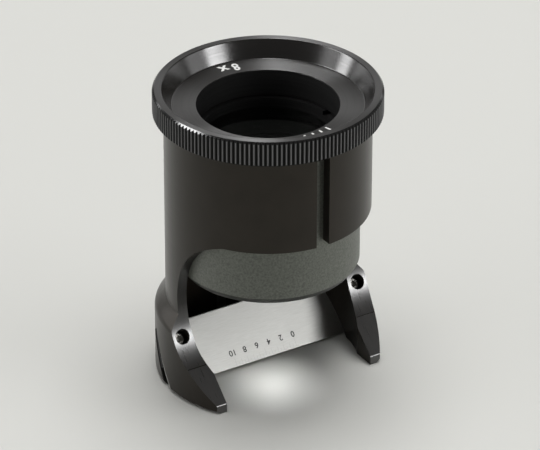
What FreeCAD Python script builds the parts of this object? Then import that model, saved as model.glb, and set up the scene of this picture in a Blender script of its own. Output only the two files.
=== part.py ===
import FreeCAD, Part
import math
import os

# Stand loupe with a built-in scale, in millimetres.
# The origin is on the optical axis, on the table. +Z is up and the open front faces -Y.
# Each size across grows outwards from the glass, and each height of the optics from the field lens.

V = FreeCAD.Vector
os.makedirs("parts", exist_ok=True)

# Overall
overrun = 1.0                 # how far a cutting tool runs past what it cuts

# Lenses: two with one flat face each, their curved faces together
lens_radius = 10.00
lens_curve_radius = 32.00
lens_edge_thickness = 4.40
lens_air_gap = 0.40           # between the curved faces, on the axis
lens_fit = 0.03               # radial play of the glass in the barrel
field_lens_height = 23.60     # flat lower face of the field lens
spacer_wall = 0.80

# Focus barrel, the tube that carries the lenses
barrel_wall = 2.87            # round the glass
barrel_edge_width = 0.65      # bevel round the lower end
barrel_edge_height = 0.95
barrel_fit = 0.05             # radial play between the barrel and the stand's bore
seat_width = 0.70             # rim of the glass that the barrel's bore leaves covered
shade_length = 6.65           # bore under the field lens

# Retaining ring, screwed down on the glass from above
retainer_lap = 1.05           # it is wider than the glass by this
retainer_height = 1.50
retainer_shoulder = 0.20      # the barrel's step lies this much under the glass
retainer_notch_width = 1.20
retainer_notch_depth = 0.60

# Knurled eyepiece ring, from the bore outwards
bore_inset = 0.11             # the eye bore is narrower than the glass by this
annulus_width = 3.45          # flat floor of the dish
dish_flare = 1.32             # width of the dish's sloping wall
rim_width = 1.34              # from the dish to the tips of the teeth
ring_height = 3.74
ring_gap = 0.05               # the ring clears the barrel's end by this
ring_bevel = 0.35
dish_depth = 2.47
tooth_count = 160
tooth_depth = 0.30
spigot_length = 2.75
spigot_fit = 0.05             # radial play of the spigot in the barrel
spigot_clearance = 0.10       # the spigot ends this much above the retaining ring

# Stand: split sleeve above, skirt with two legs below
sleeve_wall = 1.50
sleeve_clearance = 0.05       # the sleeve ends this much under the barrel's top
split_width = 2.00
shoulder_width = 1.55         # the skirt stands out from the sleeve by this
shoulder_bottom = 10.10
shoulder_height = 2.00
shoulder_round = 1.30
foot_bevel = 0.50

# Front opening: one profile, cut right across
arch_radius = 11.85
arch_centre_y = -11.30
arch_centre_z = 14.70
arch_top_cut = 0.47           # the window's straight top lies this much under the full arch
arch_end_angle = 51.70        # degrees below level, where the straight slope takes over
toe_reach = 4.64              # how far the slope runs on forwards
toe_height = 1.30
toe_round = 0.35
toe_lip = 1.05                # the toes' inner faces stand this far into the bore

# Scale plate, leaning back from the optical axis
plate_tilt = 50.0             # degrees from the table
plate_front_y = 0.07          # the graduated edge
plate_front_z = 0.58
plate_width = 8.75
plate_thickness = 0.50
plate_bevel = 0.10
plate_sunk = 0.12             # plate and strips end this much inside the skirt's surface
slot_play = 0.05              # round the plate and the strips behind it

# Clamp strips, the threaded bars behind the plate
strip_thickness = 1.10
strip_inner_gap = 0.25        # from the stand's bore
strip_top_gap = 0.10          # under the plate's upper edge
strip_thread_depth = 0.80

# Plate screws, small socket-head screws sunk in the legs
screw_from_top = 2.87         # from the plate's upper edge
screw_sunk = 1.40             # depth of the head's face
screw_head_radius = 0.80
screw_head_height = 1.00
screw_socket_flats = 0.90
screw_socket_depth = 0.60
socket_sides = 6
screw_shank_radius = 0.45
screw_hole_play = 0.08
counterbore_room = 0.30       # round the head

# Sizes across, worked outwards
clear_radius = lens_radius - seat_width
lens_seat_radius = lens_radius + lens_fit
retainer_radius = lens_radius + retainer_lap
barrel_radius = lens_seat_radius + barrel_wall
stand_bore_radius = barrel_radius + barrel_fit
sleeve_radius = stand_bore_radius + sleeve_wall
skirt_radius = sleeve_radius + shoulder_width
toe_gap_half = stand_bore_radius - toe_lip
spigot_radius = retainer_radius - spigot_fit
eye_bore_radius = lens_radius - bore_inset
dish_floor_radius = eye_bore_radius + annulus_width
dish_rim_radius = dish_floor_radius + dish_flare
ring_radius = dish_rim_radius + rim_width

# Heights, worked upwards
lens_sag = lens_curve_radius - math.sqrt(lens_curve_radius ** 2 - lens_radius ** 2)
lens_thickness = lens_edge_thickness + lens_sag
field_apex = field_lens_height + lens_thickness
eye_apex = field_apex + lens_air_gap
eye_lens_top = eye_apex + lens_thickness
barrel_bottom = field_lens_height - shade_length
retainer_top = eye_lens_top + retainer_height
spigot_bottom = retainer_top + spigot_clearance
ring_bottom = spigot_bottom + spigot_length
ring_top = ring_bottom + ring_height
dish_floor = ring_top - dish_depth
barrel_top = ring_bottom - ring_gap
sleeve_top = barrel_top - sleeve_clearance
shoulder_top = shoulder_bottom + shoulder_height
window_top = arch_centre_z + arch_radius - arch_top_cut

# Directions
up = V(0, 0, 1)
tilt = math.radians(plate_tilt)
plate_up = V(0, math.cos(tilt), math.sin(tilt))
plate_normal = V(0, -math.sin(tilt), math.cos(tilt))
plate_edge = V(0, plate_front_y, plate_front_z)


def rz(r, z):
    """Point of a turned profile."""
    return V(r, 0, z)


def yz(y, z):
    """Point of a profile seen from the side."""
    return V(0, y, z)


def line(start, end):
    return Part.LineSegment(start, end).toShape()


def closed(points):
    """Face inside a ring of points."""
    return Part.Face(Part.makePolygon(points + points[:1]))


def turned(profile):
    """Solid of revolution about the optical axis."""
    return profile.revolve(V(0, 0, 0), up, 360)


def rod(base, direction, radius, length):
    """Cylinder from base along direction."""
    return Part.makeCylinder(radius, length, base, direction)


def tube(outer, inner, bottom, top):
    """Ring about the optical axis."""
    return turned(closed([rz(inner, bottom), rz(outer, bottom), rz(outer, top), rz(inner, top)]))


def rounded_corner(before, corner, after, radius):
    """Start, middle and end of the arc that rounds a corner."""
    back = (before - corner).normalize()
    ahead = (after - corner).normalize()
    half = back.getAngle(ahead) / 2
    reach = radius / math.tan(half)
    middle = (back + ahead).normalize() * (radius / math.sin(half) - radius)
    return corner + back * reach, corner + middle, corner + ahead * reach


def mirrored_pair(solid):
    """The solid and its copy on the other leg."""
    return Part.makeCompound([solid, solid.mirror(V(0, 0, 0), V(1, 0, 0))])


def on_plate(x, rise, out):
    """Point in the scale plate's own directions: along it, up its slope, out of its face."""
    return V(x, 0, 0) + plate_edge + plate_up * rise + plate_normal * out


def slab(half_length, low, high, front, back):
    """Flat bar parallel to the scale plate; front and back are distances out of its face."""
    section = closed([on_plate(-half_length, low, back), on_plate(-half_length, high, back),
                      on_plate(-half_length, high, front), on_plate(-half_length, low, front)])
    return section.extrude(V(2 * half_length, 0, 0))


def within_skirt():
    """Room for what ends just inside the skirt's surface."""
    return rod(V(0, 0, 0), up, skirt_radius - plate_sunk, shoulder_bottom)


# Stand

def stand_blank():
    """Sleeve, shoulder and skirt, turned in one piece with one straight bore."""
    edge = rz(skirt_radius, shoulder_bottom)
    shoulder_end = rz(sleeve_radius, shoulder_top)
    foot_end = rz(skirt_radius, foot_bevel)
    start, middle, end = rounded_corner(foot_end, edge, shoulder_end, shoulder_round)
    corners = [end, shoulder_end, rz(sleeve_radius, sleeve_top), rz(stand_bore_radius, sleeve_top),
               rz(stand_bore_radius, 0), rz(skirt_radius - foot_bevel, 0), foot_end, start]
    wire = Part.Wire([Part.Arc(start, middle, end).toShape()] + Part.makePolygon(corners).Edges)
    return turned(Part.Face(wire))


def arch_back(z):
    """How far back the arch reaches at a height."""
    return arch_centre_y + math.sqrt(arch_radius ** 2 - (z - arch_centre_z) ** 2)


def front_opening():
    """What the front is cut away by: arch, straight slope and toe, swept across."""
    far = -(skirt_radius + overrun)
    turn = math.radians(arch_end_angle)
    arch_start = yz(arch_back(window_top), window_top)
    arch_middle = yz(arch_centre_y + arch_radius, arch_centre_z)
    arch_end = yz(arch_centre_y, arch_centre_z) + yz(math.cos(turn), -math.sin(turn)) * arch_radius
    toe = yz(arch_end.y - toe_reach, toe_height)
    under_toe = yz(toe.y, -overrun)
    start, middle, end = rounded_corner(arch_end, toe, under_toe, toe_round)
    outside = Part.makePolygon([end, under_toe, yz(far, -overrun), yz(far, window_top), arch_start])
    wire = Part.Wire(outside.Edges + [
        Part.Arc(arch_start, arch_middle, arch_end).toShape(),
        line(arch_end, start),
        Part.Arc(start, middle, end).toShape(),
    ])
    face = Part.Face(wire)
    face.translate(V(far, 0, 0))
    return face.extrude(V(-2 * far, 0, 0))


def toe_gap():
    """Parallel inner faces of the toes, in front of the round bore."""
    depth = skirt_radius + overrun
    return Part.makeBox(2 * toe_gap_half, depth, window_top + overrun, V(-toe_gap_half, -depth, -overrun))


def sleeve_split():
    """Slot that lets the sleeve grip the barrel."""
    height = sleeve_top - window_top + 2 * overrun
    corner = V(-split_width / 2, -(sleeve_radius + overrun), window_top - overrun)
    return Part.makeBox(split_width, sleeve_radius + overrun, height, corner)


def plate_slots():
    """Leaning slots through both sides of the skirt, open at the table."""
    back = -(plate_thickness + strip_thickness + 2 * slot_play)
    return slab(skirt_radius + overrun, -(plate_front_z + 2 * overrun), plate_width + slot_play, 0, back)


def screw_hit():
    """Where the right-hand screw's axis meets the plate's face, half way through the leg."""
    return on_plate((stand_bore_radius + skirt_radius) / 2, plate_width - screw_from_top, 0)


def screw_mouth():
    """Where that axis comes out of the arch's face, by the circle's equation."""
    away = screw_hit() - V(screw_hit().x, arch_centre_y, arch_centre_z)
    along = away.dot(plate_normal)
    reach = -along - math.sqrt(along ** 2 - away.dot(away) + arch_radius ** 2)
    return screw_hit() + plate_normal * reach


def screw_holes():
    """Counterbores for the heads and clearance holes down to the plate."""
    inward = plate_normal * -1
    radius = screw_head_radius + counterbore_room
    depth = radius + screw_sunk + screw_head_height
    counterbore = rod(screw_mouth() + plate_normal * radius, inward, radius, depth)
    reach = screw_mouth().distanceToPoint(screw_hit()) + overrun
    hole = rod(screw_mouth(), inward, screw_shank_radius + screw_hole_play, reach)
    return mirrored_pair(counterbore.fuse(hole))


def stand_body():
    return stand_blank().cut([front_opening(), toe_gap(), sleeve_split(), plate_slots(), screw_holes()])


# Scale plate and what holds it

def scale_plate():
    """Flat steel plate, ends ground to the skirt's curve, with a hole for each screw."""
    plate = slab(skirt_radius, 0, plate_width, 0, -plate_thickness)
    middle = plate.BoundBox.Center.z
    upper = [e for e in plate.Edges if e.Length > plate_width and e.BoundBox.ZMin > middle]
    plate = plate.makeChamfer(plate_bevel, upper)
    hole = rod(screw_hit() + plate_normal * overrun, plate_normal * -1,
               screw_shank_radius + screw_hole_play, plate_thickness + 2 * overrun)
    return plate.common(within_skirt()).cut(mirrored_pair(hole))


def clamp_strips():
    """Bars behind the plate's ends, each with a blind thread in its middle."""
    front = -(plate_thickness + slot_play)
    middle = plate_width - screw_from_top
    half = screw_from_top - strip_top_gap
    bar = slab(skirt_radius, middle - half, middle + half, front, front - strip_thickness)
    bar.translate(V(skirt_radius, 0, 0))
    hollow = rod(V(0, 0, 0), up, stand_bore_radius + strip_inner_gap, shoulder_bottom)
    thread = rod(screw_hit(), plate_normal * -1, screw_shank_radius, strip_thread_depth - front)
    return mirrored_pair(bar.common(within_skirt()).cut([hollow, thread]))


def plate_screws():
    """Socket-head screws that draw the strips up behind the plate."""
    inward = plate_normal * -1
    face = screw_mouth() + inward * screw_sunk
    reach = face.distanceToPoint(screw_hit()) + plate_thickness + slot_play + strip_thread_depth
    head = rod(face, inward, screw_head_radius, screw_head_height)
    shank = rod(face, inward, screw_shank_radius, reach)
    corner_radius = screw_socket_flats / 2 / math.cos(math.pi / socket_sides)
    corners = []
    for i in range(socket_sides):
        turn = 2 * math.pi * i / socket_sides
        corners.append(face + V(math.cos(turn), 0, 0) * corner_radius
                       + plate_up * (math.sin(turn) * corner_radius))
    socket = closed(corners).extrude(inward * screw_socket_depth)
    return mirrored_pair(head.fuse(shank).removeSplitter().cut(socket))


# Barrel and lenses

def focus_barrel():
    """Tube with a seat for the field lens and a wider mouth for the retaining ring."""
    step = eye_lens_top - retainer_shoulder
    return turned(closed([
        rz(clear_radius, barrel_bottom),
        rz(barrel_radius - barrel_edge_width, barrel_bottom),
        rz(barrel_radius, barrel_bottom + barrel_edge_height),
        rz(barrel_radius, barrel_top),
        rz(retainer_radius, barrel_top),
        rz(retainer_radius, step),
        rz(lens_seat_radius, step),
        rz(lens_seat_radius, field_lens_height),
        rz(clear_radius, field_lens_height),
    ]))


def curve_ball(apex, outward):
    """Ball whose surface is a lens's curved face. Poles and seam lie clear of the glass."""
    centre = V(0, 0, apex) - outward * lens_curve_radius
    return Part.makeSphere(lens_curve_radius, centre, V(1, 0, 0).cross(outward))


def lens(flat, apex):
    """Glass between a flat face and the top of its curved face."""
    outward = up * math.copysign(1, apex - flat)
    blank = rod(V(0, 0, flat), outward, lens_radius, lens_thickness + overrun)
    return blank.common(curve_ball(apex, outward))


def field_lens():
    return lens(field_lens_height, field_apex)


def eye_lens():
    return lens(eye_lens_top, eye_apex)


def lens_spacer():
    """Ring that holds the lenses apart, its ends hollowed to sit on their curves."""
    inner = lens_radius - spacer_wall
    ring = tube(lens_radius, inner, field_apex - lens_thickness, eye_apex + lens_thickness)
    return ring.cut([curve_ball(field_apex, up), curve_ball(eye_apex, up * -1)])


def lens_retaining_ring():
    """Threaded ring with two notches for a spanner."""
    ring = tube(retainer_radius, clear_radius, eye_lens_top, retainer_top)
    far = retainer_radius + overrun
    notch = Part.makeBox(2 * far, retainer_notch_width, retainer_notch_depth + overrun)
    notch.translate(V(-far, -retainer_notch_width / 2, retainer_top - retainer_notch_depth))
    return ring.cut(notch)


# Eyepiece ring

def round_point(radius, pitches, z):
    """Point about the optical axis, its turn counted in tooth pitches."""
    turn = 2 * math.pi * pitches / tooth_count
    return V(radius * math.cos(turn), radius * math.sin(turn), z)


def knurl():
    """Disc with straight V teeth, their ends bevelled."""
    star = []
    for i in range(tooth_count):
        star.append(round_point(ring_radius, i, ring_bottom))
        star.append(round_point(ring_radius - tooth_depth, i + 0.5, ring_bottom))
    teeth = closed(star).extrude(up * ring_height)
    narrow = ring_radius - ring_bevel
    wide = ring_radius + ring_bevel
    sections = []
    for radius, z in ((narrow, ring_bottom), (wide, ring_bottom + 2 * ring_bevel),
                      (wide, ring_top - 2 * ring_bevel), (narrow, ring_top)):
        corners = [round_point(radius, i + 0.5, z) for i in range(tooth_count)]
        sections.append(Part.makePolygon(corners + corners[:1]))
    return teeth.common(Part.makeLoft(sections, True, True))


def eyepiece_ring():
    """Knurled ring with a dished top and a spigot that enters the barrel."""
    spigot = rod(V(0, 0, spigot_bottom), up, spigot_radius, spigot_length)
    dish = turned(closed([
        rz(0, spigot_bottom - overrun),
        rz(eye_bore_radius, spigot_bottom - overrun),
        rz(eye_bore_radius, dish_floor),
        rz(dish_floor_radius, dish_floor),
        rz(dish_rim_radius, ring_top),
        rz(dish_rim_radius, ring_top + overrun),
        rz(0, ring_top + overrun),
    ]))
    return knurl().fuse(spigot).cut(dish)


parts = [stand_body, scale_plate, clamp_strips, plate_screws, focus_barrel, field_lens, lens_spacer,
         eye_lens, lens_retaining_ring, eyepiece_ring]

for make in parts:
    shape = make()
    shape.exportStep(os.path.join("parts", make.__name__ + ".step"))
    box = shape.BoundBox
    print("%-20s solids %d  valid %s  volume %8.1f  z %6.2f to %6.2f" % (
        make.__name__, len(shape.Solids), shape.isValid(), shape.Volume, box.ZMin, box.ZMax))
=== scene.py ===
# %% [markdown]
# A stand loupe with a steel scale at its foot, dressed for a product picture. The shapes come
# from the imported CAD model, which is loaded first as a fixed frame. This file adds what a CAD
# model leaves out: broken edges, turning marks, engraved figures, glass and light. Everything is
# in metres, with the origin on the optical axis, on the table.

# %% Load the fixed frame
import bpy
import bmesh
import math
from mathutils import Euler, Matrix, Vector


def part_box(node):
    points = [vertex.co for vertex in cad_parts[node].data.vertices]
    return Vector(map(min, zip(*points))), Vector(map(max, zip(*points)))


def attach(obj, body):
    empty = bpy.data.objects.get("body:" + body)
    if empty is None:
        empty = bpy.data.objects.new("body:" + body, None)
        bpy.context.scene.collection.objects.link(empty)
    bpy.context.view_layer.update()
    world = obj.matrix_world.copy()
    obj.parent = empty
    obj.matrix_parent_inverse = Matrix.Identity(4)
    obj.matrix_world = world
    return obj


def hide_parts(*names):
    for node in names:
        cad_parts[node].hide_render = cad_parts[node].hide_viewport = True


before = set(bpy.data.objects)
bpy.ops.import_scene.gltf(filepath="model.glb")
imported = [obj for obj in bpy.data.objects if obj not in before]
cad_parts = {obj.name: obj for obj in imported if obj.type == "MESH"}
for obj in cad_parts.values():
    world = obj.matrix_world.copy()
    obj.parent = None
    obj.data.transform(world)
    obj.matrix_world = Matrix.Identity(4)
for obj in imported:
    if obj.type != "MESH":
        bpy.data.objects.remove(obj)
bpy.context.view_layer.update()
mm = 0.001

# %% [markdown]
# The eyepiece is a knurled ring with a dish turned into its top, a flat floor in the dish and a
# bore for the eye. Finishes and figures follow its sizes. Its top is read from the frame, so that
# they move along with the model. A box can't tell the other sizes, so those are the drawing's
# own.

# %% Sizes of the eyepiece ring
ring_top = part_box("eyepiece_ring")[1].z
dish_floor = ring_top - 2.47 * mm
bore_radius = 9.89 * mm
rim_radius = 14.66 * mm
tip_radius = 16.00 * mm
print("ring top and dish floor at", [round(z / mm, 2) for z in (ring_top, dish_floor)], "mm")

# %% [markdown]
# The picture was taken from the front left, from thirty degrees above the table, with a long
# lens. A long lens keeps the ring's ellipses and the sleeve's sides almost parallel, so the
# camera stands more than half a metre away. A camera can be aimed by eye, but here its place and
# angles were fitted to the edges in the photograph, because only then can the two pictures be
# laid side by side.

# %% Camera at the photograph's angle
camera_data = bpy.data.cameras.new("photo_camera")
camera = bpy.data.objects.new("photo_camera", camera_data)
bpy.context.collection.objects.link(camera)
camera_data.sensor_width = 36.0
camera_data.lens = 259.76
camera_data.clip_start = 0.05
camera_data.clip_end = 20.0
camera.location = (-246.2 * mm, -402.8 * mm, 294.6 * mm)
pitch = math.radians(90.0 - 29.975)
heading = math.radians(-31.47)
roll = math.radians(0.097)
turn = Euler((pitch, 0, heading)).to_matrix() @ Matrix.Rotation(roll, 3, "Z")
camera.rotation_euler = turn.to_euler()
bpy.context.scene.camera = camera
print("camera at", [round(v / mm, 1) for v in camera.location], "mm")

# %% [markdown]
# Every finish below is one Principled shader, fed by a few nodes. Nodes can be wired by hand in
# the shader editor, but in code the wiring would drown what each material is about. So three
# helpers do it: one makes the material, one adds a node, and one leads a value into a socket.

# %% Helpers for a material and its nodes
def fill(inputs, values):
    """Sets sockets by their names, in which _ stands for a space."""
    for name, value in values.items():
        inputs[name.replace("_", " ")].default_value = value


def new_material(name, colour, roughness, **values):
    """Material with one Principled shader."""
    material = bpy.data.materials.new(name)
    material.use_nodes = True
    shader = material.node_tree.nodes["Principled BSDF"]
    fill(shader.inputs, dict(Base_Color=(*colour, 1.0), Roughness=roughness, **values))
    return material


def add_node(material, kind, **values):
    """New node of a kind, with some of its sockets set."""
    node = material.node_tree.nodes.new("ShaderNode" + kind)
    fill(node.inputs, values)
    return node


def connect(material, source, socket):
    """Leads a node's output into a socket; a name alone means the shader's socket."""
    if isinstance(socket, str):
        socket = material.node_tree.nodes["Principled BSDF"].inputs[socket]
    material.node_tree.links.new(source, socket)


print("material helpers ready")

# %% [markdown]
# A tool leaves marks that run one way: scratches along a rubbed plate, level rings on a turned
# tube. A picture of scratches would have to be wrapped round every piece. A noise texture on the
# piece's own coordinates needs no wrapping, and where those are squeezed along one axis more than
# along the others, its blobs turn into marks.

# %% Helpers for patterns
def noise(material, squeeze, scale=1.0):
    """Noise on the piece's coordinates in millimetres, squeezed by a factor along each axis."""
    place = add_node(material, "TexCoord")
    mapping = add_node(material, "Mapping", Scale=[factor / mm for factor in squeeze])
    pattern = add_node(material, "TexNoise", Scale=scale, Detail=3.0)
    connect(material, place.outputs["Object"], mapping.inputs["Vector"])
    connect(material, mapping.outputs["Vector"], pattern.inputs["Vector"])
    return pattern.outputs["Fac"]


def mapped(material, value, start, end, low=0.0, high=1.0):
    """A value that runs from start to end, made to run from low to high."""
    reach = add_node(material, "MapRange", From_Min=start, From_Max=end, To_Min=low, To_Max=high)
    connect(material, value, reach.inputs["Value"])
    return reach.outputs["Result"]


def spread(material, pattern, low, high):
    """A noise's middle range, where nearly all of it lies, made to run from low to high."""
    return mapped(material, pattern, 0.3, 0.7, low, high)


print("pattern helpers ready")

# %% [markdown]
# A pattern can show in three ways. It can vary how rough the skin is, which breaks up what the
# skin mirrors, or vary its tone, or stand out as relief. Real metal has a little of each, and
# most of the first, so each way is a helper of its own that a finish calls as it needs.

# %% Helpers for what a pattern does
def roughened(material, pattern, low, high):
    """Roughness that wanders between two values."""
    connect(material, spread(material, pattern, low, high), "Roughness")


def mixed(material, factor, dark, light):
    """Base colour between two tones."""
    mix = add_node(material, "Mix")
    mix.data_type = "RGBA"
    fill(mix.inputs, dict(A=(*dark, 1.0), B=(*light, 1.0)))
    connect(material, factor, mix.inputs["Factor"])
    connect(material, mix.outputs["Result"], "Base Color")


def tinted(material, pattern, dark, light):
    """Base colour that wanders between two tones."""
    mixed(material, spread(material, pattern, 0.0, 1.0), dark, light)


def relief(material, pattern, depth):
    """Bump of a given depth in metres."""
    bump = add_node(material, "Bump", Distance=depth, Strength=1.0)
    connect(material, pattern, bump.inputs["Height"])
    connect(material, bump.outputs["Normal"], "Normal")


print("effect helpers ready")

# %% [markdown]
# The stand is turned aluminium, anodised black. The finish is satin: a dark skin with a faint
# warm cast, and the fine rings that the lathe tool left, which run level round the body. Rings on
# a body of revolution depend on the height alone, so the noise is drawn out flat and squeezed
# upwards.

# %% Black anodised finish
black = new_material("black_anodised_satin", (0.008, 0.0064, 0.005), 0.28,
                     IOR=1.37, Specular_Tint=(1.0, 0.93, 0.82, 1.0))
rings = noise(black, (0.02, 0.02, 6.0))
cloud = noise(black, (0.25, 0.25, 0.25))
tinted(black, cloud, (0.006, 0.0048, 0.0036), (0.010, 0.008, 0.0062))
roughened(black, rings, 0.275, 0.305)
print("made", black.name)

# %% [markdown]
# The arch and the toes' slopes were milled, and the cutter left a closer skin than the lathe did,
# so they shine more. Its marks run across the wall, so the noise is squeezed along X. Higher up
# on the arch the wall turns from the light and the photograph shows it dull. Two materials would
# meet there in a hard line, so one material loses its shine with the height instead.

# %% Milled faces of the arch
def height_of(material):
    """Height of a point above the table, in metres."""
    place = add_node(material, "TexCoord")
    parts = add_node(material, "SeparateXYZ")
    connect(material, place.outputs["Object"], parts.inputs["Vector"])
    return parts.outputs["Z"]


shiny_up_to, dull_from = 9.3 * mm, 13.5 * mm
milled = new_material("black_milled", (0.012, 0.011, 0.010), 0.30, IOR=1.95)
cutter = noise(milled, (6.0, 0.3, 0.3))
tinted(milled, cutter, (0.010, 0.009, 0.008), (0.015, 0.0135, 0.012))
roughened(milled, cutter, 0.27, 0.33)
shine = mapped(milled, height_of(milled), shiny_up_to, dull_from, 0.50, 0.13)
connect(milled, shine, "Specular IOR Level")
print("made", milled.name)

# %% [markdown]
# The eyepiece ring has the same anodised skin, but it was turned with a finer cut and shines
# more, most of all on the sloping wall of the dish, where light runs in long soft streaks. Its
# turning marks are circles about the axis. On a sloping wall the height alone can't draw them, so
# their noise is read along the distance from the axis and the height together.

# %% Polished black finish
def from_axis(material):
    """Distance of a point from the optical axis, in metres."""
    place = add_node(material, "TexCoord")
    flat = add_node(material, "VectorMath")
    flat.operation = "MULTIPLY"
    flat.inputs[1].default_value = (1, 1, 0)
    length = add_node(material, "VectorMath")
    length.operation = "LENGTH"
    connect(material, place.outputs["Object"], flat.inputs[0])
    connect(material, flat.outputs["Vector"], length.inputs[0])
    return length.outputs["Value"]


def turning(material, marks):
    """Noise that runs in circles about the axis, with about so many marks to the millimetre."""
    profile = add_node(material, "CombineXYZ")
    connect(material, from_axis(material), profile.inputs["X"])
    connect(material, height_of(material), profile.inputs["Z"])
    pattern = add_node(material, "TexNoise", Scale=marks / mm, Detail=2.0)
    connect(material, profile.outputs["Vector"], pattern.inputs["Vector"])
    return pattern.outputs["Fac"]


gloss = new_material("black_anodised_gloss", (0.010, 0.009, 0.008), 0.20, IOR=1.60)
circles = turning(gloss, 4.0)
roughened(gloss, circles, 0.16, 0.24)
relief(gloss, circles, 0.0008 * mm)
print("made", gloss.name)

# %% [markdown]
# The flat floor of the dish was faced off with a broader tool. Circular scratches smear a
# highlight across themselves, which makes the pale fans that turned faces are known for.
# Scratches too fine to draw one by one are what anisotropy stands for, with its tangent laid
# round the axis.

# %% Turned face of the dish floor
turned_face = new_material("black_turned_face", (0.010, 0.009, 0.008), 0.40,
                           IOR=1.75, Anisotropic=0.95, Anisotropic_Rotation=0.25)
around = add_node(turned_face, "Tangent")
around.direction_type = "RADIAL"
around.axis = "Z"
connect(turned_face, around.outputs["Tangent"], "Tangent")
roughened(turned_face, turning(turned_face, 5.0), 0.36, 0.44)
print("made", turned_face.name)

# %% [markdown]
# Fingers have rubbed the tips of the knurl to a dull grey, and the grey also stands for a painted
# highlight along each ridge. The grooves get a near-black painted shade, darker than the anodised
# skin, with less shine. Painting each tooth would take a mask. The distance from the axis tells
# tip from groove by itself, so it mixes the two tones, and it takes the shine out of the grooves
# as well.

# %% Rubbed knurl with painted groove shade
groove_shade_black, tip_wear_and_highlight_grey = (0.001, 0.001, 0.001), (0.130, 0.130, 0.133)
tip_tone_start, tip_tone_end = tip_radius - 0.12 * mm, tip_radius - 0.04 * mm
glint_start = tip_radius - 0.20 * mm
knurl = new_material("knurl_wear_and_groove_shade", (0.02, 0.02, 0.02), 0.36, IOR=1.45)
mixed(knurl, mapped(knurl, from_axis(knurl), tip_tone_start, tip_tone_end), groove_shade_black, tip_wear_and_highlight_grey)
glint = mapped(knurl, from_axis(knurl), glint_start, tip_tone_end, 0.1, 0.5)
connect(knurl, glint, "Specular IOR Level")
roughened(knurl, noise(knurl, (1.0, 1.0, 1.0)), 0.30, 0.42)
print("made", knurl.name)

# %% [markdown]
# After knurling, the ring's upper and lower corners were turned to a bevel, which cut the ends of
# all teeth afresh. These small slopes are the brightest spots of the ring, each a glint of its
# own. They get the smoothest skin, only a little uneven, so that no two glints are quite the
# same.

# %% Bright cut of the bevelled tooth ends
cut_bevel = new_material("cut_bevel", (0.006, 0.006, 0.006), 0.16, IOR=1.7)
roughened(cut_bevel, noise(cut_bevel, (1.0, 1.0, 1.0), 2.0), 0.14, 0.20)
print("made", cut_bevel.name)

# %% [markdown]
# Stray light is the enemy inside a magnifier, so the eye bore, the tube under the lenses and the
# rings between them are dead black: a matt skin over fine grooves, cut level round the wall. The
# grooves could be cut into the mesh, but at some forty to the centimetre a relief looks the same.

# %% Matt black of the light path
# The same matt black also stands as painted shade under the barrel's edge and on the clamp strips
# in the slots.
matt = new_material("matt_black_bore_and_shade", (0.004, 0.004, 0.004), 0.7, IOR=1.30)
grooves = noise(matt, (0.05, 0.05, 4.0))
tinted(matt, grooves, (0.002, 0.002, 0.002), (0.008, 0.008, 0.008))
relief(matt, grooves, 0.03 * mm)
print("made", matt.name)

# %% [markdown]
# The barrel was blasted before it was anodised grey, so it is matt, with a grain a few tenths of
# a millimetre wide and no tool marks at all. The grain is the same in every direction, so this
# noise isn't squeezed. It shows as light and dark specks and as a shallow relief.

# %% Frosted grey finish
frost = new_material("frosted_grey", (0.06, 0.063, 0.054), 0.46,
                     IOR=1.66, Specular_Tint=(0.97, 1.0, 0.92, 1.0))
grain = noise(frost, (1.0, 1.0, 1.0), 3.5)
tinted(frost, grain, (0.034, 0.037, 0.030), (0.092, 0.097, 0.084))
relief(frost, grain, 0.012 * mm)
print("made", frost.name)

# %% [markdown]
# The barrel's lower edge was bevelled on the lathe after the blasting. The cut took the frost away
# and left a smoother band with circles in it. The band looks down into the shade under the barrel,
# so its grey is darkened as painted shade, and it reads as a thin dark line.

# %% Turned bevel of the barrel, darkened as painted shade
shaded_bevel_grey = new_material("shaded_bevel_grey", (0.025, 0.026, 0.024), 0.42, IOR=1.25)
tinted(shaded_bevel_grey, turning(shaded_bevel_grey, 6.0), (0.018, 0.019, 0.017), (0.032, 0.033, 0.030))
print("made", shaded_bevel_grey.name)

# %% [markdown]
# The scale plate is stainless steel, rubbed along its length to a satin face. Its marks are long
# and thin along X, so the noise is squeezed across them. Bare metal takes its look from what it
# mirrors, so the tone hardly varies, and the roughness does the work.

# %% Satin steel
steel = new_material("satin_steel", (0.52, 0.52, 0.50), 0.30, Metallic=1.0)
brush = noise(steel, (0.7, 14.0, 14.0))
tinted(steel, brush, (0.49, 0.49, 0.47), (0.55, 0.55, 0.53))
roughened(steel, brush, 0.29, 0.33)
relief(steel, brush, 0.0001 * mm)
print("made", steel.name)

# %% [markdown]
# The screws are blackened steel. The oxide skin is hard and worn thin by the key, so it still
# shines like metal and throws small sharp lights from the socket's rim. A soft blotchy noise
# stands for the places where the oxide is thinner.

# %% Blackened steel
dark_steel = new_material("blackened_steel", (0.45, 0.44, 0.42), 0.26, Metallic=1.0)
wear = noise(dark_steel, (2.0, 2.0, 2.0))
tinted(dark_steel, wear, (0.36, 0.35, 0.33), (0.54, 0.53, 0.50))
relief(dark_steel, wear, 0.002 * mm)
print("made", dark_steel.name)

# %% [markdown]
# The glass is clear and coated, which takes away most of its mirror. Full transmission makes the
# shader a glass, and a low specular level stands for the coating. A thin noise in the roughness
# is for the wipe marks that no lens is free of.

# %% Coated glass
glass = new_material("coated_glass", (0.60, 0.64, 0.61), 0.01,
                     Transmission_Weight=1.0, IOR=1.52, Specular_IOR_Level=0.12)
roughened(glass, noise(glass, (0.3, 0.05, 0.3)), 0.0, 0.03)
print("made", glass.name)

# %% [markdown]
# The figures on the ring are filled with white paint, and those on the steel plate with black.
# The fine lines of the scale are only etched, and look grey. All three are matt and a little
# uneven, so one helper makes them.

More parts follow.
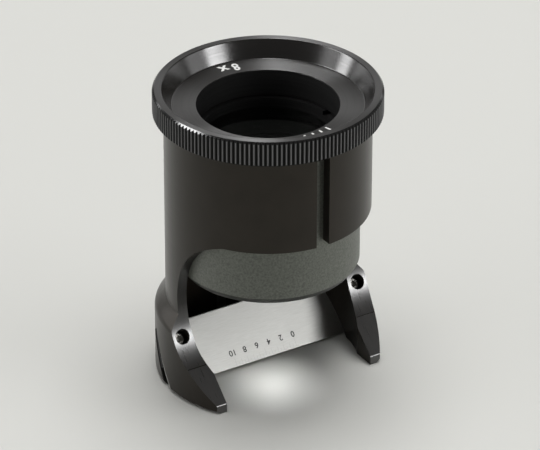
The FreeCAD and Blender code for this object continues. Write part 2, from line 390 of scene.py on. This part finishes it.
# %% Paints
def paint(name, dark, light):
    """Matt paint whose tone wanders a little."""
    material = new_material(name, light, 0.6)
    tinted(material, noise(material, (3.0, 3.0, 3.0)), dark, light)
    return material


white_paint = paint("white_fill", (0.72, 0.72, 0.70), (0.82, 0.82, 0.80))
black_paint = paint("black_fill", (0.02, 0.02, 0.02), (0.045, 0.045, 0.045))
grey_etch = paint("grey_etching", (0.30, 0.30, 0.29), (0.42, 0.42, 0.40))
print("made", white_paint.name, black_paint.name, "and", grey_etch.name)

# %% [markdown]
# No real edge is perfectly sharp. A deburred corner is about a tenth of a millimetre round, and
# that tiny round is what draws the bright line along an edge. It could be faked in the shading,
# but a true one is in the mesh itself. The CAD mesh is loose triangles, so a copy is merged, its
# flat areas are joined into whole faces, and a Bevel modifier rounds the edges that turn sharply.
# The copy then stands for the CAD node, which stays as it is.

# %% Helper that breaks the edges of a CAD copy
merge_distance = 0.0005 * mm
flat_turn = math.radians(0.5)
sharp_turn = math.radians(24)


def deburred(node, name, width, segments=2, share=None):
    """Copy of a CAD node with rounded edges; share gives an edge's part of the full width."""
    bpy.ops.object.select_all(action="DESELECT")
    piece = bpy.data.objects.new(name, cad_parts[node].data.copy())
    bpy.context.collection.objects.link(piece)
    mesh = bmesh.new()
    mesh.from_mesh(piece.data)
    bmesh.ops.remove_doubles(mesh, verts=mesh.verts, dist=merge_distance)
    bmesh.ops.dissolve_limit(mesh, angle_limit=flat_turn, verts=mesh.verts, edges=mesh.edges)
    weights = mesh.edges.layers.float.new("bevel_weight_edge")
    for edge in mesh.edges:
        if len(edge.link_faces) == 2 and edge.calc_face_angle() > sharp_turn:
            edge[weights] = share(edge) if share else 1.0
    mesh.to_mesh(piece.data)
    mesh.free()
    bpy.context.view_layer.objects.active = piece
    piece.select_set(True)
    bpy.ops.object.shade_smooth_by_angle(angle=sharp_turn)
    bevel = piece.modifiers.new("edge_break", "BEVEL")
    bevel.limit_method = "WEIGHT"
    bevel.width = width
    bevel.segments = segments
    bevel.harden_normals = True
    bpy.ops.object.modifier_apply(modifier=bevel.name)
    for face in piece.data.polygons:
        if abs(face.normal.z) > 0.9999:
            face.use_smooth = False
    return piece


print("deburring helper ready")

# %% [markdown]
# A CAD mesh is made of facets, and where a mirror-like skin is shaded from facets, its highlights
# wobble. More facets would help a little. But it is known how the real faces run: a turned one
# has no lean round the axis. So the corners of the faces are given the direction that the real
# face has there, and the facets no longer show.

# %% Helpers that shade turned faces true
def true_normals(piece, rule):
    """Shades a copy by a rule that knows the direction of its faces better than the facets do."""
    mesh = piece.data
    normals = [Vector(corner.vector) for corner in mesh.corner_normals]
    trued = 0
    for face in mesh.polygons:
        for index in face.loop_indices if face.use_smooth else []:
            place = mesh.vertices[mesh.loops[index].vertex_index].co
            exact = rule(face, place, normals[index])
            if exact:
                normals[index] = exact.normalized()
                trued += 1
    mesh.normals_split_custom_set(normals)
    print(trued, "corners of", piece.name, "shaded true")


def directions_at(place):
    """Directions away from the axis and round it, at a place."""
    away = Vector((place.x, place.y, 0)).normalized()
    return away, Vector((-away.y, away.x, 0))


most_face_lean, most_corner_lean = 0.03, 0.12


def as_turned(face, place, normal):
    """A turned face has no lean round the axis, only outwards and up."""
    if place.xy.length < 0.5 * mm:
        return None
    away, round_axis = directions_at(place)
    face_lean = face.normal.dot(directions_at(face.center)[1])
    if abs(face_lean) > most_face_lean or abs(normal.dot(round_axis)) > most_corner_lean:
        return None
    if abs(face.normal.z) < 0.02:
        return away if face.normal.dot(away) > 0 else -away
    return normal - round_axis * normal.dot(round_axis)


print("shading helpers ready")

# %% [markdown]
# A finished piece has a material, rides on the body that carries it, and may stand for a CAD
# node. One piece can also have more than one finish, as a real part does that is milled after
# turning. The faces for a second finish could be picked by hand, but in code a face is chosen by
# its place and direction, which still works when the mesh changes.

# %% Helpers that finish a piece
def finish_piece(piece, material, body, node=None):
    """Gives a piece its finish, sets it on the body that carries it, and hides the CAD node it
    stands for.
    """
    piece.data.materials.clear()
    piece.data.materials.append(material)
    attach(piece, body)
    if node:
        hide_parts(node)
    print(piece.name, "rides on", body, "with", len(piece.data.polygons), "faces")


def refinish(piece, material, chosen):
    """Gives another finish to the faces that are chosen."""
    piece.data.materials.append(material)
    faces = [face for face in piece.data.polygons if chosen(face)]
    for face in faces:
        face.material_index = len(piece.data.materials) - 1
    print(len(faces), "faces of", piece.name, "in", material.name)


def looks_inwards(piece, face, radius):
    """Whether a face lies within a radius, and is level or faces the axis."""
    corners = [piece.data.vertices[index].co for index in face.vertices]
    away = directions_at(face.center)[0]
    facing = abs(face.normal.z) > 0.9 or face.normal.dot(away) < -0.3
    return facing and max(math.hypot(co.x, co.y) for co in corners) < radius


print("finishing helpers ready")

# %% [markdown]
# The stand body is one piece of turned aluminium whose front is milled away in one arch. The mill
# leaves crisp edges where the arch meets the round sleeve, and they are only just broken. The
# arch is part of a circle seen from the side, so its wall is shaded true from that circle's
# centre, and the toes' slopes below it are flat.

# %% Stand body
arch_centre = Vector((0, -11.30 * mm, 14.70 * mm))
arch_radius = 11.85 * mm
toe_top = 5.5 * mm
arch_top = 22 * mm


def as_milled(face, place, normal):
    """The arch is part of a circle seen from the side, and the toe's slope is flat."""
    if abs(face.normal.x) < 0.02:
        across = Vector((0, face.center.y, face.center.z)) - arch_centre
        on_arch = abs(across.length - arch_radius) < 0.04 * mm
        if on_arch and face.normal.dot(across.normalized()) < -0.99:
            return Vector((0, arch_centre.y - place.y, arch_centre.z - place.z))
        if face.normal.y < -0.3 and face.center.z < toe_top:
            return face.normal.copy()
    return as_turned(face, place, normal)


def was_milled(face):
    """Whether a face runs straight across the stand and looks forwards."""
    return abs(face.normal.x) < 0.06 and face.normal.y < -0.3 and face.center.z < arch_top


stand = deburred("stand_body", "stand_shell", 0.10 * mm)
true_normals(stand, as_milled)
finish_piece(stand, black, "stand", "stand_body")
refinish(stand, milled, was_milled)

# %% [markdown]
# On the ring, the edges inside the rim are broken: the lip of the dish, the foot of its wall and
# the mouth of the bore. Of the teeth only the tips are, where the knurling wheel leaves a narrow
# round land. The grooves and the bevelled ends stay as they were cut. So the bevel isn't the same
# everywhere, and a weight on each edge says how much of it that edge gets.

# %% Eyepiece ring
tooth_height = 2 * mm


def tooth_share(edge):
    """Full width inside the rim, most of it on the teeth's tips, none in the grooves."""
    low, high = sorted((vert.co for vert in edge.verts), key=lambda co: co.z)
    reach = [math.hypot(co.x, co.y) for co in (low, high)]
    if max(reach) < rim_radius + 0.4 * mm:
        return 1.0
    upright = high.z - low.z > tooth_height
    return 0.75 if upright and min(reach) > tip_radius - 0.01 * mm else 0.0


ring = deburred("eyepiece_ring", "knurled_ring", 0.12 * mm, share=tooth_share)
true_normals(ring, as_turned)
finish_piece(ring, gloss, "eyepiece", "eyepiece_ring")

# %% [markdown]
# The ring has five finishes: gloss on the wall of the dish, matt black in the bore, the turned
# face on the dish floor and on the flat rim, and rubbed teeth with painted shade in their grooves
# and bright cut ends. Each is told by where the faces lie and which way they look.

# %% Finishes of the eyepiece ring
skin = 0.1 * mm


def faced_off(face):
    """Whether a face is on the dish floor or on the flat of the rim."""
    floor_or_rim = face.center.z < dish_floor + skin or face.center.z > ring_top - skin
    return face.normal.z > 0.999 and floor_or_rim


def on_teeth(face):
    """Whether a face belongs to the knurl."""
    return face.center.xy.length > rim_radius + 0.6 * mm


refinish(ring, matt, lambda face: looks_inwards(ring, face, bore_radius + 0.06 * mm))
refinish(ring, turned_face, faced_off)
refinish(ring, knurl, lambda face: on_teeth(face) and abs(face.normal.z) < 0.5)
refinish(ring, cut_bevel, lambda face: on_teeth(face) and 0.5 < abs(face.normal.z) < 0.9)

# %% [markdown]
# The barrel is a frosted tube, black inside. Its lower edge carries a turned bevel in a grey
# darkened as painted shade, and the faces under the edge get the matt black as painted shade,
# since they look down into the dark. Where the faces look down a little they belong to the bevel,
# and where they look down steeply, to the black under the edge.

# %% Barrel
barrel_wall = 12.0 * mm
barrel = deburred("focus_barrel", "frosted_barrel", 0.08 * mm)
true_normals(barrel, as_turned)
finish_piece(barrel, frost, "barrel", "focus_barrel")


def in_the_dark(face):
    """Whether a face of the barrel is inside the tube, which is black, or under its edge, where
    the matt black is painted shade.
    """
    under = face.normal.z < -0.62 and face.center.xy.length > barrel_wall
    return under or looks_inwards(barrel, face, barrel_wall)


refinish(barrel, matt, in_the_dark)
refinish(barrel, shaded_bevel_grey,
         lambda face: -0.62 < face.normal.z < -0.3 and face.center.xy.length > barrel_wall)

# %% [markdown]
# The scale plate is cut from sheet and its edges are only stroked with a file, so they get the
# finest bevel of all, a single small flat. The screw heads are turned parts with a rounder edge.

# %% Scale plate and screws
plate = deburred("scale_plate", "steel_plate", 0.04 * mm, segments=1)
finish_piece(plate, steel, "stand", "scale_plate")
screws = deburred("plate_screws", "socket_screws", 0.07 * mm)
finish_piece(screws, dark_steel, "stand", "plate_screws")

# %% [markdown]
# A lens maker grinds the rims of the lenses and paints them black, so that no light runs round
# inside the glass. A rim of clear glass would show in the bore as a bright arc, which the real
# one doesn't have. So the rims are given the same matt black as the tube.

# %% Lenses
clear_radius = 9 * mm
for node in ("field_lens", "eye_lens"):
    lens = deburred(node, node + "_glass", 0.10 * mm, segments=1)
    finish_piece(lens, glass, "barrel", node)
    refinish(lens, matt,
             lambda face: abs(face.normal.z) < 0.8 and face.center.xy.length > clear_radius)

# %% [markdown]
# The spacer and the retaining ring are hidden in the dark. The ends of the clamp strips show in
# the slots of the skirt, and their dead matt black is painted shade there, so that the slots read
# as black gaps. Nothing would be seen of broken edges on these parts, so they keep their own
# meshes and only get the matt black.

# %% Finish of the parts that stay
for node in ("clamp_strips", "lens_spacer", "lens_retaining_ring"):
    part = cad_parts[node]
    part.data.materials.clear()
    part.data.materials.append(matt)
    print(node, "finished in", matt.name)

# %% [markdown]
# The plate is graduated along its lower edge. The zero is at the right, and the figures are read
# from the other side, so from here they stand on their heads. Turning each one by hand would
# invite mistakes. A matrix made from the plate's own directions, along X, up its slope and out of
# its face, puts anything that is drawn flat in its place on the plate.

# %% Places on the plate
plate_tilt = math.radians(50.0)
plate_edge = Vector((0, 0.07 * mm, 0.58 * mm))
slope = Vector((0, math.cos(plate_tilt), math.sin(plate_tilt)))
outward = Vector((0, -math.sin(plate_tilt), math.cos(plate_tilt)))


def frame_at(origin, side, up, out):
    """Matrix that lays a flat drawing at a place, its X along side, its Y along up."""
    return Matrix.Translation(origin) @ Matrix((side, up, out)).transposed().to_4x4()


def on_plate(along, rise):
    """Place on the plate's face, turned so that figures read from behind."""
    origin = plate_edge + Vector((along, 0, 0)) + slope * rise
    return frame_at(origin, Vector((-1, 0, 0)), -slope, outward)


print("plate slopes at", round(math.degrees(plate_tilt)), "degrees")

# %% [markdown]
# Figures could be drawn with strokes, but a text object has well-shaped ones ready. It is made
# into a mesh, and its letters are raised by about a hundredth of a millimetre, which is as thick
# as the paint in an engraving.

# %% Helpers for painted figures
paint_depth = 0.012 * mm
capital_height = 0.7


def figure(words, height, place, name, weight=0.0, breadth=1.0):
    """Text as a thin mesh, centred on a place; weight thickens its strokes, breadth widens it."""
    bpy.ops.object.select_all(action="DESELECT")
    bpy.ops.object.text_add()
    text = bpy.context.object
    text.data.body = words
    text.data.size = height / capital_height
    text.data.align_x = "CENTER"
    text.data.align_y = "CENTER"
    text.data.extrude = paint_depth
    text.data.offset = weight
    bpy.ops.object.convert(target="MESH")
    text = bpy.context.object
    text.name = name
    text.data.transform(place @ Matrix.Diagonal((breadth, 1, 1, 1)))
    text.matrix_world = Matrix.Identity(4)
    return text


def joined(pieces, name):
    """Several meshes made one."""
    bpy.ops.object.select_all(action="DESELECT")
    for piece in pieces:
        piece.select_set(True)
    bpy.context.view_layer.objects.active = pieces[0]
    bpy.ops.object.join()
    whole = bpy.context.object
    whole.name = name
    return whole


print("figure helpers ready")

# %% [markdown]
# Every second millimetre of the scale has its number, from 0 to 10. The figures stand in a row
# above the lines and belong together, so they are joined into one piece.

# %% Figures on the plate
figure_rise = 2.07 * mm
figure_height = 0.84 * mm
stroke_weight = 0.018 * mm
figures = []
for value in range(0, 11, 2):
    place = on_plate((5 - value) * mm, figure_rise)
    figures.append(figure(str(value), figure_height, place, "figure_%d" % value, stroke_weight))
scale_figures = joined(figures, "scale_figures")
finish_piece(scale_figures, black_paint, "stand")

# %% [markdown]
# The lines of the scale are thin straight strokes. Each one is a small bar that lies on the
# plate: the longest at 0, 5 and 10, shorter ones at the other millimetres and the shortest
# between them, as on any rule, so that the eye can count them.

# %% Graduation lines on the plate
def stroke(place, width, length, name):
    """Thin painted bar that starts at a place and runs against its Y direction."""
    bpy.ops.object.select_all(action="DESELECT")
    bpy.ops.mesh.primitive_cube_add(size=1)
    bar = bpy.context.object
    bar.name = name
    shape = Matrix.Diagonal((width, length, 2 * paint_depth, 1))
    bar.data.transform(place @ Matrix.Translation((0, -length / 2, 0)) @ shape)
    return bar


line_rise, line_width = 0.02 * mm, 0.03 * mm
strokes = []
for i in range(21):
    length = 1.25 * mm if i % 10 == 0 else 0.95 * mm if i % 2 == 0 else 0.60 * mm
    place = on_plate((5 - i / 2) * mm, line_rise)
    strokes.append(stroke(place, line_width, length, "line_%d" % i))
scale_lines = joined(strokes, "scale_lines")
finish_piece(scale_lines, grey_etch, "stand")

# %% [markdown]
# Where the round of the arch meets the flat slope of a toe, the two cuts of the mill meet in a
# slight crease, and a thin dark line of shade runs across the leg there. The step is far too low
# to model, so a hair-thin stroke in the stand's own black lies on the crease as painted shade.

# %% Painted shade on the crease of the toes
crease_turn = math.radians(51.7)
crease_out = 13.95 * mm
crease = arch_centre + arch_radius * Vector((0, math.cos(crease_turn), -math.sin(crease_turn)))
facing = Vector((0, -math.cos(crease_turn), math.sin(crease_turn)))
bend = []
for side in (-1, 1):
    across = Vector((side, 0, 0))
    place = frame_at(crease + across * crease_out, across, facing.cross(across), facing)
    bend.append(stroke(place, 3.0 * mm, 0.13 * mm, "bend_%d" % side))
crease_shade_strokes = joined(bend, "crease_shade_strokes")
finish_piece(crease_shade_strokes, black, "stand")

# %% [markdown]
# The ring's flat floor carries the magnification, an 8 and an x filled in white, at the far side.
# It is read from there. Here too a matrix lays each figure in its place, this time at an angle
# round the axis, with its head towards the bore.

# %% Figures on the ring
def on_ring(radius, degrees):
    """Place on the dish floor, with Y pointing at the axis."""
    turn = math.radians(degrees)
    away = Vector((math.cos(turn), math.sin(turn), 0))
    up = Vector((0, 0, 1))
    return frame_at(away * radius + up * dish_floor, (-away).cross(up), -away, up)


mark_height, mark_weight = 1.9 * mm, 0.07 * mm
power = [figure("8", mark_height, on_ring(11.75 * mm, 81.3), "power_8", mark_weight, 0.72),
         figure("x", mark_height, on_ring(11.85 * mm, 89.8), "power_x", mark_weight, 0.95)]
power_mark = joined(power, "power_mark")
finish_piece(power_mark, white_paint, "eyepiece")

# %% [markdown]
# A few plain index lines stand at the near side of the floor, where the rim all but hides them.
# They are strokes like those of the scale, only wider, and evenly spaced round the axis.

# %% Index lines on the ring
marks = []
for i in range(4):
    place = on_ring(10.4 * mm, 266.6 + 6.8 * i)
    marks.append(stroke(place, 0.28 * mm, 1.5 * mm, "mark_%d" % i))
index_marks = joined(marks, "index_marks")
finish_piece(index_marks, white_paint, "eyepiece")

# %% [markdown]
# The floor is a plain pale sheet. Its colour is what the photograph shows in full light, and the
# object's soft shadow falls on it. It is wide enough that no view sees its edge near the object.

# %% Floor
sheet = new_material("pale_sheet", (0.65, 0.65, 0.62), 0.9)
bpy.ops.object.select_all(action="DESELECT")
bpy.ops.mesh.primitive_circle_add(vertices=96, radius=3.0, fill_type="NGON", location=(0, 0, 0))
floor = bpy.context.object
floor.name = "floor"
floor.data.materials.append(sheet)
print("floor", floor.dimensions.x, "m across")

# %% [markdown]
# The room behind the viewer is dim. Black satin mirrors it, and that is what keeps the front of
# the sleeve dark, so the world gives only a faint even light.

# %% World light
world = bpy.data.worlds.new("room")
bpy.context.scene.world = world
world.use_nodes = True
room = world.node_tree.nodes["Background"]
room.inputs["Color"].default_value = (1.0, 1.0, 0.98, 1.0)
room.inputs["Strength"].default_value = 0.13
print("world strength", room.inputs["Strength"].default_value)

# %% [markdown]
# A softbox is a rectangular lamp. It could be placed by coordinates, but a photographer thinks of
# it as a direction and a distance from the object, so that is what the helper takes. It also
# takes the radiance, how bright the card looks in a mirror, because then a card can grow without
# getting brighter.

# %% Helper for softboxes
lamp_aim = Vector((0, 0, 0.02))


def softbox(name, heading, height, distance, width, tall, glow):
    """Rectangular lamp turned towards the part: heading and height are angles, glow a radiance."""
    data = bpy.data.lights.new(name, "AREA")
    data.shape = "RECTANGLE"
    data.size = width
    data.size_y = tall
    data.energy = glow * math.pi * width * tall
    lamp = bpy.data.objects.new(name, data)
    bpy.context.collection.objects.link(lamp)
    around, above = math.radians(heading), math.radians(height)
    reach, rise = distance * math.cos(above), distance * math.sin(above)
    lamp.location = (reach * math.cos(around), reach * math.sin(around), rise)
    lamp.rotation_euler = (lamp_aim - lamp.location).to_track_quat("-Z", "Y").to_euler()
    print(name, "at", [round(v, 2) for v in lamp.location], "with", round(data.energy, 2), "W")
    return lamp


print("softbox helper ready")

# %% [markdown]
# Black satin shows little but what it mirrors, so what is mirrored is set apart from what lights.
# These cards are only mirrored. A box and a dimmer halo round it, at the left and at the front
# right, draw the bright streaks in the dish with their soft ends, and the sheen of the legs. A
# low card at the left is for the stand's conical shoulder, one at the side for the sleeve's right
# end, a lamp high at the left for the tooth ends. A strip and a wide pale wall behind are what
# the rim and the ring's flat floor mirror.

# %% Cards that are mirrored
mirrored = [softbox("left_box", 146, 12, 0.70, 0.17, 0.24, 12.0),
            softbox("left_halo", 168, 17, 0.80, 0.26, 0.24, 2.1),
            softbox("left_low", 118, 13, 0.80, 0.36, 0.22, 1.9),
            softbox("front_right_box", -61, 22, 0.70, 0.26, 0.16, 17.0),
            softbox("right_halo", -38, 14, 0.80, 0.40, 0.24, 2.2),
            softbox("side_card", -4, 4, 1.20, 1.20, 0.30, 1.1),
            softbox("tooth_lamp", 152, 38, 0.70, 0.34, 0.22, 15.0),
            softbox("back_strip", 64, 62, 0.90, 0.10, 0.60, 13.0),
            softbox("pale_wall", 56, 25, 1.20, 1.30, 0.60, 0.62)]
for lamp in mirrored:
    lamp.visible_diffuse = False
    lamp.visible_transmission = False
print(len(mirrored), "cards are only mirrored")

# %% [markdown]
# These lamps only light. A high lamp behind throws the soft shadow towards the viewer, a wide
# ceiling fills it, and two low fills light the barrel's ends. The fills stand low, because from
# higher up they would throw shadows of their own on the sheet. In the black skin they would be
# mirrored as pale patches that the photograph doesn't have, so they are hidden from gloss.

# %% Lamps that light
lighting = [softbox("left_fill", 168, 12, 0.90, 0.90, 0.30, 3.0),
            softbox("right_fill", -40, 9, 0.90, 0.90, 0.24, 7.8),
            softbox("ceiling", 0, 89, 1.30, 1.00, 1.00, 2.15),
            softbox("high_lamp", 51, 74, 0.80, 0.50, 0.50, 4.35)]
for lamp in lighting:
    lamp.visible_glossy = False
    lamp.visible_transmission = False
print(len(lighting), "lamps only light")

# %% [markdown]
# The light from above also shines down through the lenses, which draw it together into a round
# glow on the sheet in front of the scale. A short render can't follow that light through the
# glass, so a small spot under the field lens stands for it.

# %% Glow under the lenses
glow_aim = Vector((-3.2 * mm, -6.8 * mm, 0))
spot = bpy.data.lights.new("lens_glow", "SPOT")
spot.energy = 0.031
spot.spot_size = math.radians(30)
spot.spot_blend = 0.6
spot.shadow_soft_size = 5 * mm
lens_glow = bpy.data.objects.new("lens_glow", spot)
bpy.context.collection.objects.link(lens_glow)
lens_glow.location = (0, 0, 22.8 * mm)
lens_glow.rotation_euler = (glow_aim - lens_glow.location).to_track_quat("-Z", "Y").to_euler()
lens_glow.visible_glossy = False
lens_glow.visible_transmission = False
print("glow of", round(spot.energy, 3), "W under the field lens")

# %% [markdown]
# Colours are shown as they are, with no film look.

# %% View settings
bpy.context.scene.view_settings.view_transform = "Standard"
